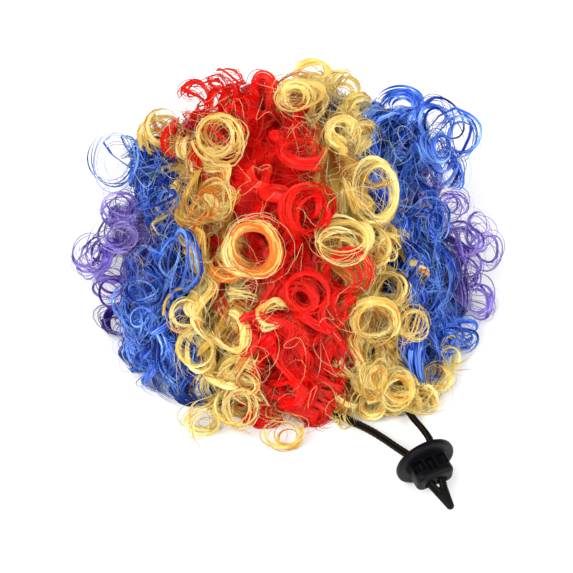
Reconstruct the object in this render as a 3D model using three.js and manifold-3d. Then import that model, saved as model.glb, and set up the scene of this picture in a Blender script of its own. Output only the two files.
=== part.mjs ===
// A curly clown wig for a pet: seven stripes of ringlets on a soft cap, with an elastic chin cord
// whose two ends pass through a moulded stopper.
// Millimetres, +Z up, front towards -Y. The wig stands on its lowest curls at z = 0.
import * as THREE from "three";
import { mergeVertices } from "three/addons/utils/BufferGeometryUtils.js";
import Module from "manifold-3d";

const wasm = await Module();
wasm.setup();

// The cap that the hair is sewn to: half an ellipsoid, open below, with a thicker hem at its rim.
const CAP_RADIUS = 54;
const CAP_RISE = 55;
const CAP_WALL = 1.6;
const HEM_WALL = 2.4;
const HEM_HEIGHT = 7;
const RIM_HEIGHT = 7;
const CAP_SIDES = 24;
const CAP_STEPS = 5;

// The hair: a thick backing in stripes that run from the front to the back, with ringlets fused to it.
const SEAM = 0.5;
const BACKING_CLEARANCE = 0.95;
const BACKING_DEPTH = 16.5;
const BACKING_WAVE = 1.4;
const WAVES_ALONG = 7;
const WAVES_ACROSS = 9;
const WAVE_SLANT = 4;
const BACKING_FOOT = 0;
const BACKING_STEPS = 14;
const BACKING_COLUMN = 14;
const RINGLET_PITCH = 22;
const RINGLET_RADIUS = 7.2;
const RINGLET_SPREAD = 0.7;
const RINGLET_TURNS = 1;
const RINGLET_TIGHTEN = 0.28;
const RINGLET_RISING = 0.3;
const RINGLET_STEPS = 7;
const LOCK_RADIUS = 3.8;
const LOCK_SIDES = 5;
const ROSETTE_LIFT = 4.2;
const ROSETTE_SINK = 7;
const LOOP_LIFT = 3;
const LOOP_PITCH = 3.5;
const FLAT_LEAN = 15;
const STANDING_LEAN = 65;
const FEATURE_CLEARANCE = 17;

// Stripe edges, and the lanes that each stripe's ringlets lie in, are angles out from the middle plane,
// in degrees, negative on the left.
const STRIPES = [
  { name: "hair_purple_left", from: -90, to: -56, lanes: [-66, -84], colour: 0x6a3aa8 },
  { name: "hair_blue_left", from: -56, to: -35.5, lanes: [-46], colour: 0x1e5ad0 },
  { name: "hair_yellow_left", from: -35.5, to: -20.5, lanes: [-28], colour: 0xe8c04a },
  { name: "hair_red", from: -20.5, to: 7.5, lanes: [-12, -1], colour: 0xd01018 },
  { name: "hair_yellow_right", from: 7.5, to: 30, lanes: [18.75], colour: 0xe8c04a },
  { name: "hair_blue_right", from: 30, to: 59, lanes: [39, 50], colour: 0x1e5ad0 },
  { name: "hair_purple_right", from: 59, to: 90, lanes: [69, 85], colour: 0x6a3aa8 },
];

// The largest curls: the angle up from the front rim, the angle out from the middle, the ring's radius
// and the lean of its axis away from the hair's surface, in degrees and millimetres.
const FEATURE_CURLS = [
  { stripe: "hair_yellow_left", along: 56, out: -27, radius: 8.8, lean: 8 },
  { stripe: "hair_yellow_left", along: 98, out: -28, radius: 6.8, lean: 0 },
  { stripe: "hair_yellow_left", along: 4, out: -27, radius: 7, lean: 10 },
  { stripe: "hair_yellow_right", along: 69, out: 19, radius: 8.4, lean: 20 },
  { stripe: "hair_yellow_right", along: 31, out: 18.5, radius: 8.2, lean: 12 },
  { stripe: "hair_yellow_right", along: 106, out: 17.5, radius: 7.6, lean: 30 },
  { stripe: "hair_red", along: 65, out: -2.5, radius: 8.2, lean: 35 },
  { stripe: "hair_red", along: 40, out: -5, radius: 7.6, lean: 20 },
  { stripe: "hair_blue_left", along: 122, out: -47, radius: 8, lean: 90 },
  { stripe: "hair_blue_left", along: 50, out: -46.5, radius: 7.6, lean: 70 },
  { stripe: "hair_blue_right", along: 60, out: 45, radius: 7, lean: 40 },
];

// Places where the hair is longer: the angle up from the front rim, the angle out from the middle, how far
// the longer hair spreads, in degrees, and its extra depth in millimetres.
const LONG_HAIR = [
  { along: 113, out: 50, spread: 17, extra: 10 },
  { along: 0, out: 31, spread: 12, extra: 8 },
];

// The passage under the front curls that the chin cord comes out by.
const PASSAGE = { left: -18, right: 44, front: -95, back: -30, height: 4.9 };

// The stopper stands on its flange; out is the direction in which the cord ends leave it.
const STOPPER_PLACE = { x: 33, y: -105.4 };
const STOPPER_TURN = 12.8;
const FLANGE_RADIUS = 11.5;
const FLANGE_THICKNESS = 2.8;
const FLANGE_EDGE = 0.9;
const FLANGE_DISH = 0.7;
const FLANGE_DISH_RADIUS = 9.4;
const FLANGE_SIDES = 20;
const BODY = { width: 14.8, height: 8.6, length: 7.8, corner: 2.8, edge: 0.6 };
const BORE_RADIUS = 1.85;
const BORE_SPACING = 4.6;
const BORE_DROP = 1.2;
const BORE_FLARE = 2.4;
const BORE_SIDES = 10;
const POCKET = { depth: 3.1, length: 5.2, rib: 1.1, side: 4.1, middle: 2.9 };

// The chin cord: elastic braid from each side of the cap's rim, round the front and into the stopper.
const CORD_RADIUS = 1.35;
const CORD_SIDES = 8;
const CORD_STEP = 6.2;
const FREE_END = 5.4;
const TIP_LENGTH = 5.6;
const TIP_RADIUS = 1.7;
const TIP_GAP = 0.3;
const TIP_TILT = 16;
const FREE_END_DROP = 1.1;
const CORD_ROUTES = [
  {
    name: "strap_cord_left",
    side: -1,
    points: [
      [-48.9, 6, 15],
      [-49.1, 4, 8.5],
      [-46.5, -1, 2.4],
      [-38, -11, 1.45],
      [-24, -29, 1.45],
      [-9, -50, 1.45],
      [1, -63.5, 1.6],
      [9, -74, 2.5],
      [18.2, -85.2, 5.6],
      [25.2, -96.4, 8.8],
    ],
  },
  {
    name: "strap_cord_right",
    side: 1,
    points: [
      [48.9, 6, 15],
      [49.1, 4, 8.5],
      [48, -3, 2.4],
      [44, -16, 1.45],
      [36, -36, 1.45],
      [32.4, -55, 1.45],
      [33.4, -69, 1.7],
      [35.2, -79.5, 3],
      [37.2, -89, 6.4],
      [37.6, -96.2, 9.2],
    ],
  },
];

const FABRIC = { roughness: 0.9, metalness: 0 };
const HAIR = { roughness: 0.45, metalness: 0 };
const PLASTIC = { roughness: 0.4, metalness: 0 };
const BLACK = 0x1c1c22;
const WELD = 1e-3;
const SMALL_ANGLE = 0.01;

const radians = THREE.MathUtils.degToRad;

// A closed geometry as a solid that can be joined and cut.
function toSolid(geometry) {
  const bare = new THREE.BufferGeometry();
  bare.setAttribute("position", geometry.getAttribute("position"));
  bare.setIndex(geometry.index);
  const merged = mergeVertices(bare, WELD);
  const corners = merged.index.array;
  const kept = [];
  for (let i = 0; i < corners.length; i += 3) {
    const [a, b, c] = corners.slice(i, i + 3);
    if (a !== b && b !== c && c !== a) kept.push(a, b, c);
  }
  const vertProperties = merged.getAttribute("position").array;
  const triVerts = new Uint32Array(kept);
  return new wasm.Manifold(new wasm.Mesh({ numProp: 3, vertProperties, triVerts }));
}

function toGeometry(solid) {
  const mesh = solid.getMesh();
  const geometry = new THREE.BufferGeometry();
  geometry.setAttribute("position", new THREE.BufferAttribute(mesh.vertProperties, 3));
  geometry.setIndex(new THREE.BufferAttribute(mesh.triVerts, 1));
  geometry.computeVertexNormals();
  return geometry;
}

function namedMesh(name, geometry, colour, finish) {
  const mesh = new THREE.Mesh(geometry, new THREE.MeshStandardMaterial({ color: colour, ...finish }));
  mesh.name = name;
  return mesh;
}

function boxSolid(left, right, front, back, bottom, top) {
  const box = new THREE.BoxGeometry(right - left, back - front, top - bottom);
  box.translate((left + right) / 2, (front + back) / 2, (bottom + top) / 2);
  return toSolid(box);
}

// A point over the cap: the angle out from the middle plane, the angle up from the front rim over the
// crown to the back rim, and the depth of hair outside the cap.
function overCap(out, along, depth) {
  const slice = Math.cos(out) * (CAP_RADIUS + depth);
  const rise = Math.cos(out) * (CAP_RISE + depth);
  return new THREE.Vector3(
    Math.sin(out) * (CAP_RADIUS + depth),
    -slice * Math.cos(along),
    RIM_HEIGHT + rise * Math.sin(along),
  );
}

function capGeometry() {
  const profile = [];
  for (let i = 0; i <= CAP_STEPS; i++) {
    const angle = (Math.PI / 2) * (1 - i / CAP_STEPS);
    profile.push(new THREE.Vector2(CAP_RADIUS * Math.cos(angle), CAP_RISE * Math.sin(angle)));
  }
  profile.push(new THREE.Vector2(CAP_RADIUS - HEM_WALL, 0));
  profile.push(new THREE.Vector2(CAP_RADIUS - HEM_WALL, HEM_HEIGHT));
  const inner = { radius: CAP_RADIUS - CAP_WALL, rise: CAP_RISE - CAP_WALL };
  for (let i = 1; i <= CAP_STEPS; i++) {
    const angle = (Math.PI / 2) * (i / CAP_STEPS);
    profile.push(new THREE.Vector2(inner.radius * Math.cos(angle), inner.rise * Math.sin(angle)));
  }
  profile[0].x = 0;
  profile.at(-1).x = 0;
  const cap = new THREE.LatheGeometry(profile.reverse(), CAP_SIDES);
  cap.rotateX(Math.PI / 2);
  cap.translate(0, 0, RIM_HEIGHT);
  return cap;
}

// The extra depth of hair at a place, from each tuft of long hair near it.
function longHair(out, along) {
  let depth = 0;
  for (const tuft of LONG_HAIR) {
    const away = Math.hypot(out - radians(tuft.out), (along - radians(tuft.along)) * Math.cos(out));
    depth += tuft.extra * Math.exp(-((away / radians(tuft.spread)) ** 2));
  }
  return depth;
}

// The backing swells and sinks along and across each stripe, as bunched hair does.
function backingDepth(out, along) {
  const alongWave = Math.sin(WAVES_ALONG * along + WAVE_SLANT * out);
  return BACKING_DEPTH + BACKING_WAVE * alongWave * Math.cos(WAVES_ACROSS * out) + longHair(out, along);
}

// One stripe of backing: a grid over the cap, closed by its two sides and its two feet. A stripe that
// ends at the side of the head comes to a point there.
function backingSolid(stripe) {
  const seam = SEAM / 2 / CAP_RADIUS;
  const endsAt = (angle) => Math.abs(angle) === 90;
  const from = radians(stripe.from) + (endsAt(stripe.from) ? 0 : seam);
  const to = radians(stripe.to) - (endsAt(stripe.to) ? 0 : seam);
  const columns = Math.max(2, Math.round((stripe.to - stripe.from) / BACKING_COLUMN));
  const rows = BACKING_STEPS + 2;
  const positions = [];
  for (const outer of [false, true]) {
    for (let i = 0; i <= columns; i++) {
      for (let j = 0; j <= rows; j++) {
        const out = from + ((to - from) * i) / columns;
        const share = THREE.MathUtils.clamp((j - 1) / BACKING_STEPS, 0, 1);
        const along = Math.PI * share;
        const point = overCap(out, along, outer ? backingDepth(out, along) : BACKING_CLEARANCE);
        if (j === 0 || j === rows) point.z = BACKING_FOOT;
        positions.push(point.x, point.y, point.z);
      }
    }
  }
  const at = (outer, i, j) => ((outer ? columns + 1 : 0) + i) * (rows + 1) + j;
  const index = [];
  const quad = (a, b, c, d) => index.push(a, b, c, a, c, d);
  for (let i = 0; i < columns; i++) {
    for (let j = 0; j < rows; j++) {
      quad(at(true, i, j), at(true, i + 1, j), at(true, i + 1, j + 1), at(true, i, j + 1));
      quad(at(false, i, j), at(false, i, j + 1), at(false, i + 1, j + 1), at(false, i + 1, j));
    }
    quad(at(false, i, 0), at(false, i + 1, 0), at(true, i + 1, 0), at(true, i, 0));
    quad(at(true, i, rows), at(true, i + 1, rows), at(false, i + 1, rows), at(false, i, rows));
  }
  for (let j = 0; j < rows; j++) {
    if (!endsAt(stripe.from)) quad(at(false, 0, j), at(true, 0, j), at(true, 0, j + 1), at(false, 0, j + 1));
    if (!endsAt(stripe.to)) {
      quad(at(false, columns, j + 1), at(true, columns, j + 1), at(true, columns, j), at(false, columns, j));
    }
  }
  const geometry = new THREE.BufferGeometry();
  geometry.setAttribute("position", new THREE.Float32BufferAttribute(positions, 3));
  geometry.setIndex(index);
  return toSolid(geometry);
}

// A lock that coils about an axis and tightens towards its end. Its first part rises from the backing.
class Ringlet extends THREE.Curve {
  constructor(centre, axis, start, radius, sink, pitch) {
    super();
    Object.assign(this, { centre, axis, start, radius, sink, pitch });
    this.side = new THREE.Vector3().crossVectors(axis, start);
  }

  getPoint(t, target = new THREE.Vector3()) {
    const angle = 2 * Math.PI * RINGLET_TURNS * t;
    const radius = this.radius * (1 - RINGLET_TIGHTEN * t);
    const rising = 1 - THREE.MathUtils.smoothstep(t, 0, RINGLET_RISING);
    const lift = this.pitch * (t - 0.5) - this.sink * rising;
    return target
      .copy(this.centre)
      .addScaledVector(this.start, radius * Math.cos(angle))
      .addScaledVector(this.side, radius * Math.sin(angle))
      .addScaledVector(this.axis, lift);
  }
}

function polygonShape(radius, sides) {
  const corners = [];
  for (let i = 0; i < sides; i++) {
    const angle = (2 * Math.PI * i) / sides;
    corners.push(new THREE.Vector2(radius * Math.cos(angle), radius * Math.sin(angle)));
  }
  return new THREE.Shape(corners);
}

// A curl rooted on its outer side, whose axis leans from the hair's outward direction: upright axes give
// flat rosettes that lie on the hair, and axes that lean right over give loops that stand half out of it.
function ringletSolid({ along, out, radius, lean }, lockRadius) {
  const angles = [radians(out), radians(along)];
  const foot = overCap(...angles, 0);
  const outward = overCap(...angles, 1).sub(foot).normalize();
  const onward = overCap(angles[0], angles[1] + SMALL_ANGLE, 0).sub(foot).normalize();
  const across = new THREE.Vector3().crossVectors(outward, onward).normalize();
  const axis = outward.clone().applyAxisAngle(onward, radians(lean));
  const start = across.applyAxisAngle(onward, radians(lean)).multiplyScalar(out > 0 ? -1 : 1);
  const standing = Math.sin(radians(lean));
  const lift = THREE.MathUtils.lerp(ROSETTE_LIFT, LOOP_LIFT, standing);
  const depth = BACKING_DEPTH + longHair(...angles) + lift;
  const sink = ROSETTE_SINK * (1 - standing);
  const curl = new Ringlet(overCap(...angles, depth), axis, start, radius, sink, LOOP_PITCH * standing);
  const section = polygonShape(lockRadius, LOCK_SIDES);
  return toSolid(new THREE.ExtrudeGeometry(section, { steps: RINGLET_STEPS, extrudePath: curl }));
}

// The largest radius that a flat curl can have without its stem reaching over the edge of its stripe.
function widestRadius({ from, to }, out) {
  const stemRadius = CAP_RADIUS + BACKING_DEPTH + ROSETTE_LIFT - ROSETTE_SINK;
  const edges = [from, to].filter((edge) => Math.abs(edge) < 90);
  const room = Math.min(...edges.map((edge) => Math.abs(edge - out)));
  return radians(room) * stemRadius - LOCK_RADIUS - SEAM;
}

// A value between -1 and 1 that changes from curl to curl and is the same on the left and the right.
function unevenness(place, lane, out) {
  return Math.sin(5 * place + 3 * lane + Math.abs(out));
}

// Ringlets in lanes along a stripe, flat and standing by turns, clear of the stripe's largest curls.
function ringletsOf(stripe) {
  const features = FEATURE_CURLS.filter((curl) => curl.stripe === stripe.name);
  const placeOf = (curl) => overCap(radians(curl.out), radians(curl.along), BACKING_DEPTH);
  const ringlets = [...features];
  stripe.lanes.forEach((out, lane) => {
    const arc = Math.PI * Math.cos(radians(out)) * (CAP_RADIUS + BACKING_DEPTH);
    const spaces = Math.max(1, Math.round(arc / RINGLET_PITCH));
    for (let i = 0; i <= spaces - lane; i++) {
      const along = (180 * (i + lane / 2)) / spaces;
      const radius = RINGLET_RADIUS + RINGLET_SPREAD * unevenness(i, lane, out);
      const lean = i % 2 === lane ? STANDING_LEAN : FLAT_LEAN;
      const ringlet = { along, out, radius: Math.min(radius, widestRadius(stripe, out)), lean };
      const clear = features.every((curl) => placeOf(curl).distanceTo(placeOf(ringlet)) > FEATURE_CLEARANCE);
      if (clear) ringlets.push(ringlet);
    }
  });
  return ringlets;
}

const REACH = 2 * (CAP_RADIUS + CAP_RISE);
const aboveFloor = boxSolid(-REACH, REACH, -REACH, REACH, 0, REACH);
const passage = boxSolid(PASSAGE.left, PASSAGE.right, PASSAGE.front, PASSAGE.back, -1, PASSAGE.height);

function stripeMesh(stripe) {
  let hair = backingSolid(stripe);
  for (const ringlet of ringletsOf(stripe)) hair = hair.add(ringletSolid(ringlet, LOCK_RADIUS));
  for (const curl of FEATURE_CURLS) {
    if (curl.stripe !== stripe.name) hair = hair.subtract(ringletSolid(curl, LOCK_RADIUS + SEAM));
  }
  hair = hair.intersect(aboveFloor).subtract(passage);
  return namedMesh(stripe.name, toGeometry(hair), stripe.colour, HAIR);
}

// The stopper in its own frame: X across, Y up and Z out along the cord, from the middle of the flange.
function flangeSolid() {
  const half = FLANGE_THICKNESS / 2;
  const profile = [
    new THREE.Vector2(0, -half),
    new THREE.Vector2(FLANGE_RADIUS - FLANGE_EDGE, -half),
    new THREE.Vector2(FLANGE_RADIUS, -half + FLANGE_EDGE),
    new THREE.Vector2(FLANGE_RADIUS, half - FLANGE_EDGE),
    new THREE.Vector2(FLANGE_RADIUS - FLANGE_EDGE, half),
    new THREE.Vector2(FLANGE_DISH_RADIUS, half),
    new THREE.Vector2(0, half - FLANGE_DISH),
  ];
  const disc = new THREE.LatheGeometry(profile, FLANGE_SIDES);
  disc.rotateX(Math.PI / 2);
  return toSolid(disc);
}

function bodySolid() {
  const { width, height, length, corner, edge } = BODY;
  const outline = new THREE.Shape();
  const x = width / 2 - edge;
  const y = height / 2 - edge;
  const r = corner - edge;
  outline.moveTo(-x + r, -y);
  outline.lineTo(x - r, -y);
  outline.absarc(x - r, -y + r, r, -Math.PI / 2, 0);
  outline.absarc(x - r, y - r, r, 0, Math.PI / 2);
  outline.absarc(-x + r, y - r, r, Math.PI / 2, Math.PI);
  outline.absarc(-x + r, -y + r, r, Math.PI, 1.5 * Math.PI);
  const block = new THREE.ExtrudeGeometry(outline, {
    depth: length - edge,
    curveSegments: 3,
    bevelThickness: edge,
    bevelSize: edge,
    bevelSegments: 1,
  });
  return toSolid(block);
}

function boreSolid(x) {
  const length = BODY.length + 2 * FLANGE_THICKNESS;
  const bore = new THREE.CylinderGeometry(BORE_RADIUS, BORE_RADIUS, 2 * length, BORE_SIDES);
  bore.rotateX(Math.PI / 2);
  bore.translate(x, -BORE_DROP, 0);
  const flare = new THREE.CylinderGeometry(BORE_RADIUS + BORE_FLARE, BORE_RADIUS, BORE_FLARE, BORE_SIDES);
  flare.rotateX(-Math.PI / 2);
  flare.translate(x, -BORE_DROP, (BORE_FLARE - FLANGE_THICKNESS) / 2 - FLANGE_EDGE / 2);
  return toSolid(bore).add(toSolid(flare));
}

function pocketSolids() {
  const { depth, length, rib, side, middle } = POCKET;
  const top = BODY.height / 2;
  const start = FLANGE_THICKNESS / 2;
  const rows = [
    { x: -(middle / 2 + rib + side / 2), width: side },
    { x: 0, width: middle },
    { x: middle / 2 + rib + side / 2, width: side },
  ];
  return rows.map(({ x, width }) =>
    boxSolid(x - width / 2, x + width / 2, top - depth, top + 1, start, start + length),
  );
}

function stopperMesh() {
  let stopper = flangeSolid().add(bodySolid());
  for (const pocket of pocketSolids()) stopper = stopper.subtract(pocket);
  for (const side of [-1, 1]) stopper = stopper.subtract(boreSolid((side * BORE_SPACING) / 2));
  return namedMesh("cord_stopper", toGeometry(stopper), BLACK, PLASTIC);
}

// The fused end of both cords, flattened where they run into it and round at its tip.
function tipMesh() {
  const profile = [new THREE.Vector2(0, 0), new THREE.Vector2(TIP_RADIUS, 0)];
  const straight = TIP_LENGTH - TIP_RADIUS;
  for (let i = 0; i <= 3; i++) {
    const angle = (Math.PI / 6) * i;
    profile.push(new THREE.Vector2(TIP_RADIUS * Math.cos(angle), straight + TIP_RADIUS * Math.sin(angle)));
  }
  profile.at(-1).x = 0;
  const tip = new THREE.LatheGeometry(profile, CORD_SIDES);
  tip.rotateX(Math.PI / 2);
  const position = tip.getAttribute("position");
  for (let i = 0; i < position.count; i++) {
    const widen = 1 - Math.max(0, position.getZ(i)) / TIP_LENGTH;
    position.setX(i, position.getX(i) * (1 + widen * (CORD_RADIUS / TIP_RADIUS)));
  }
  return namedMesh("cord_tip", tip, BLACK, FABRIC);
}

const stopperFrame = new THREE.Group();
stopperFrame.position.set(STOPPER_PLACE.x, STOPPER_PLACE.y, FLANGE_RADIUS);
stopperFrame.rotation.set(Math.PI / 2, 0, 0);
const stopperTurn = new THREE.Group();
stopperTurn.rotation.y = radians(STOPPER_TURN);
stopperFrame.add(stopperTurn);
stopperFrame.updateMatrixWorld(true);

const CORD_OUT = FLANGE_THICKNESS / 2 + BODY.length;
const TIP_START = CORD_OUT + FREE_END;

// A cord from its anchor at the rim, through its bore, to the fused tip.
function cordMesh({ name, side, points }) {
  const bore = (side * BORE_SPACING) / 2;
  const inStopper = [
    [bore, -BORE_DROP, -FLANGE_THICKNESS / 2],
    [bore, -BORE_DROP, CORD_OUT / 2],
    [bore, -BORE_DROP, CORD_OUT],
    [side * (CORD_RADIUS + TIP_GAP / 2), -BORE_DROP - FREE_END_DROP, TIP_START - TIP_GAP],
  ];
  const through = inStopper.map((p) => stopperTurn.localToWorld(new THREE.Vector3(...p)));
  const route = points.map((p) => new THREE.Vector3(...p)).concat(through);
  const path = new THREE.CatmullRomCurve3(route, false, "centripetal");
  const steps = Math.round(path.getLength() / CORD_STEP);
  const section = polygonShape(CORD_RADIUS, CORD_SIDES);
  const tube = new THREE.ExtrudeGeometry(section, { steps, extrudePath: path });
  return namedMesh(name, tube, BLACK, FABRIC);
}

const wig = new THREE.Group();
wig.add(namedMesh("cap", capGeometry(), BLACK, FABRIC));
for (const stripe of STRIPES) wig.add(stripeMesh(stripe));
for (const route of CORD_ROUTES) wig.add(cordMesh(route));
const tip = tipMesh();
tip.position.set(0, -BORE_DROP - FREE_END_DROP, TIP_START);
tip.rotation.x = radians(TIP_TILT);
stopperTurn.add(stopperMesh());
stopperTurn.add(tip);
wig.add(stopperFrame);

export default wig;
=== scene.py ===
import math

import bpy
import numpy as np
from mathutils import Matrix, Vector


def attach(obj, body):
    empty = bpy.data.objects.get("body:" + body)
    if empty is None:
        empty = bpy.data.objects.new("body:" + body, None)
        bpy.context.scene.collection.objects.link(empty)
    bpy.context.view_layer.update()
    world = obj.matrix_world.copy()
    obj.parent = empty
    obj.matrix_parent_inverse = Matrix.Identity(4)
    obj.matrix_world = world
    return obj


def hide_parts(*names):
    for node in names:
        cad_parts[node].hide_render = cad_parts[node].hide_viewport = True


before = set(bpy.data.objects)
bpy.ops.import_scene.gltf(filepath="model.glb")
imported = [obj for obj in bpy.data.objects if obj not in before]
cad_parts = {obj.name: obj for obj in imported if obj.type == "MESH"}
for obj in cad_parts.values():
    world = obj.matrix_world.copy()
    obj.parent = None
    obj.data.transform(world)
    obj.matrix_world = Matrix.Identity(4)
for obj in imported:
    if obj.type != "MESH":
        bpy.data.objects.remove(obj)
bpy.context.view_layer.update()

MM = 0.001
rng = np.random.default_rng(3)


def add_object(name, data):
    """An object in the scene that holds a mesh, a light or a camera."""
    made = bpy.data.objects.new(name, data)
    bpy.context.collection.objects.link(made)
    return made


# The wig is seen from the front, a little from its left, and from well above.
FACING_AZIMUTH = math.radians(-11)
FACING_ELEVATION = math.radians(50)
LOOK_AT = np.array([-1.5, -16.5, 15.0])
CAMERA_DISTANCE = 575
LEVEL = math.cos(FACING_ELEVATION)
FACING = np.array([
    math.sin(FACING_AZIMUTH) * LEVEL, -math.cos(FACING_AZIMUTH) * LEVEL, math.sin(FACING_ELEVATION)
])
RIGHTWARD = np.array([math.cos(FACING_AZIMUTH), math.sin(FACING_AZIMUTH), 0.0])
UPWARD = np.cross(FACING, RIGHTWARD)

camera = add_object("camera", bpy.data.cameras.new("camera"))
camera.data.lens = 90
camera.data.sensor_width = 36
camera.location = (LOOK_AT + FACING * CAMERA_DISTANCE) * MM
camera.rotation_euler = Vector(FACING).to_track_quat("Z", "Y").to_euler()
camera.data.clip_start = 0.01
camera.data.clip_end = 20
bpy.context.scene.camera = camera

# Cap and hair sizes in millimetres, and the stripes' edges in degrees out from the middle plane.
CAP_RADIUS = 54
CAP_RISE = 55
CAP_WALL = 1.6
HEM_WALL = 2.4
HEM_HEIGHT = 7
RIM_HEIGHT = 7
HAIR_DEPTH = 26
LONG_FROM = 20
STRIPES = [
    # piece, node, slot, from, to
    ("purple_curls_left", "hair_purple_left", "hair_purple", -90, -56),
    ("blue_curls_left", "hair_blue_left", "hair_blue", -56, -35.5),
    ("yellow_curls_left", "hair_yellow_left", "hair_yellow", -35.5, -20.5),
    ("red_curls", "hair_red", "hair_red", -20.5, 7.5),
    ("yellow_curls_right", "hair_yellow_right", "hair_yellow", 7.5, 30),
    ("blue_curls_right", "hair_blue_right", "hair_blue", 30, 59),
    ("purple_curls_right", "hair_purple_right", "hair_purple", 59, 90),
]
# Places where the hair is longer.
LONG_HAIR = [
    # out, along, spread, extra depth
    (50, 113, 17, 10),
    (31, 0, 12, 8),
]
PURPLE_LEFT, BLUE_LEFT, YELLOW_LEFT, RED, YELLOW_RIGHT, BLUE_RIGHT, PURPLE_RIGHT = range(7)

# Stopper and cord sizes in millimetres. The stopper's own frame has X across, Y up and Z out along the cord.
STOPPER_PLACE = (33, -105.4, 11.5)
STOPPER_TURN = math.radians(12.8)
CORD_RADIUS = 1.35
CORD_STEP = 0.5
BORE_SPACING = 4.6
BORE_DROP = 1.2
CORD_OUT = 9.2
CORD_IN, CORD_PAST = -1.4, 4
CORD_POINTS = 40
CORD_ROUTES = {
    "elastic_cord_left": ("strap_cord_left", -1, [
        (-48.9, 6, 15), (-49.1, 4, 8.5), (-46.5, -1, 2.4), (-38, -11, 1.45), (-24, -29, 1.45),
        (-9, -50, 1.45), (1, -63.5, 1.6), (9, -74, 2.5), (18.2, -85.2, 5.6), (25.2, -96.4, 8.8),
    ]),
    "elastic_cord_right": ("strap_cord_right", 1, [
        (48.9, 6, 15), (49.1, 4, 8.5), (48, -3, 2.4), (44, -16, 1.45), (36, -36, 1.45),
        (32.4, -55, 1.45), (33.4, -69, 1.7), (35.2, -79.5, 3), (37.2, -89, 6.4), (37.6, -96.2, 9.2),
    ]),
}
stopper_frame = np.array([
    (math.cos(STOPPER_TURN), 0, math.sin(STOPPER_TURN)),
    (math.sin(STOPPER_TURN), 0, -math.cos(STOPPER_TURN)),
    (0, 1, 0),
])


def from_stopper(points):
    """Points of the stopper's own frame, in the wig's frame."""
    return np.asarray(points, float) @ stopper_frame.T + STOPPER_PLACE


def linear(code):
    """An sRGB hex colour as linear red, green, blue and alpha."""
    parts = [int(code[i:i + 2], 16) / 255 for i in (1, 3, 5)]
    return [c / 12.92 if c <= 0.04045 else ((c + 0.055) / 1.055) ** 2.4 for c in parts] + [1.0]


def set_inputs(tree, node, inputs):
    """Sets or links a node's inputs by name or number. Another node is linked by its first output."""
    for name, value in inputs.items():
        if isinstance(value, bpy.types.Node):
            value = value.outputs[0]
        if isinstance(value, bpy.types.NodeSocket):
            tree.links.new(value, node.inputs[name])
        else:
            node.inputs[name].default_value = value


def add_node(tree, kind, settings, inputs):
    """Adds a shader node with its settings and inputs."""
    made = tree.nodes.new("ShaderNode" + kind)
    for name, value in settings.items():
        if name == "stops":
            ramp = made.color_ramp.elements
            while len(ramp) < len(value):
                ramp.new(1.0)
            for stop, (place, code) in zip(ramp, value):
                stop.position, stop.color = place, linear(code)
        else:
            setattr(made, name, value)
    set_inputs(tree, made, inputs)
    return made


def start_material(name):
    """A new material, with its node tree and its shader."""
    material = bpy.data.materials.new(name)
    material.use_nodes = True
    tree = material.node_tree
    return material, tree, tree.nodes["Principled BSDF"]


# The hair's map has a column for each shade of a colour, dark to light. The first is for strands painted with
# red light that bleeds through from the next stripe, and the last for loose fibres. A strand lies across a
# column.
HAIR_MAP = "OFBake"
SHADES = 16
LOOSE_SHADE = SHADES - 1
LAST_SHADE = LOOSE_SHADE - 1
RED_BLEED_SHADE = 0
FIRST_SHADE = 5
# The dense short hair takes a dark column, painted shade in the gaps between locks; the yellow's is orange,
# painted red light as well.
UNDER_PAINTED_SHADES = {"hair_red": 7, "hair_yellow": 2, "hair_blue": 7, "hair_purple": 7}
CORD_HAIR_SHADE = 11
LOCK_WIDTH = 1.2
FIBRE_SPACING = 0.5
LIGHT_REACH = 4
FIBRES_ACROSS = LOCK_WIDTH / FIBRE_SPACING
# How often the lines and the painted gloss bands change along a strand, and the painted gloss bands across
# it.
LINES_ALONG = 2.0
GLOSS_BANDS_ALONG, GLOSS_BANDS_ACROSS = 5.0, 0.7
FLOOR_GAP = 0.05


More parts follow.
